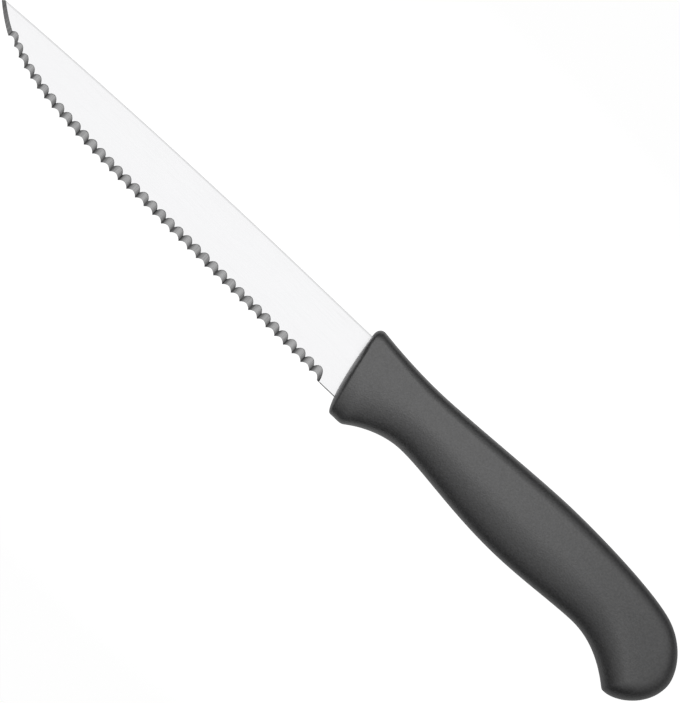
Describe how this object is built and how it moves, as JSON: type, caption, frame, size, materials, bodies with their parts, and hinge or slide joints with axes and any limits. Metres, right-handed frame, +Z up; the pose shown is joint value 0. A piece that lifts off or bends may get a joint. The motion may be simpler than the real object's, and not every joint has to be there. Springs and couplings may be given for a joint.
{
  "type": "steak knife",
  "caption": "Table steak knife: a straight-spined steel blade with a scalloped one-sided edge, and a curved dark grey plastic handle with a guard and a hooked butt, moulded round the tang.",
  "frame": {"origin": "middle of the knife's box in X and Y, on the surface that it lies on", "axes": "The knife lies on its side. +X towards the butt of the handle and -X towards the tip, +Y towards the spine and -Y towards the cutting edge, +Z up, out of the ground face that the picture shows."},
  "size_m": [0.2296, 0.0268, 0.0125],
  "materials": {
    "steel": "finely brushed, bright scallops",
    "plastic": "matt, fine moulded texture"
  },
  "bodies": {
    "root": {"blade": "steel", "handle": "plastic"}
  },
  "joints": []
}
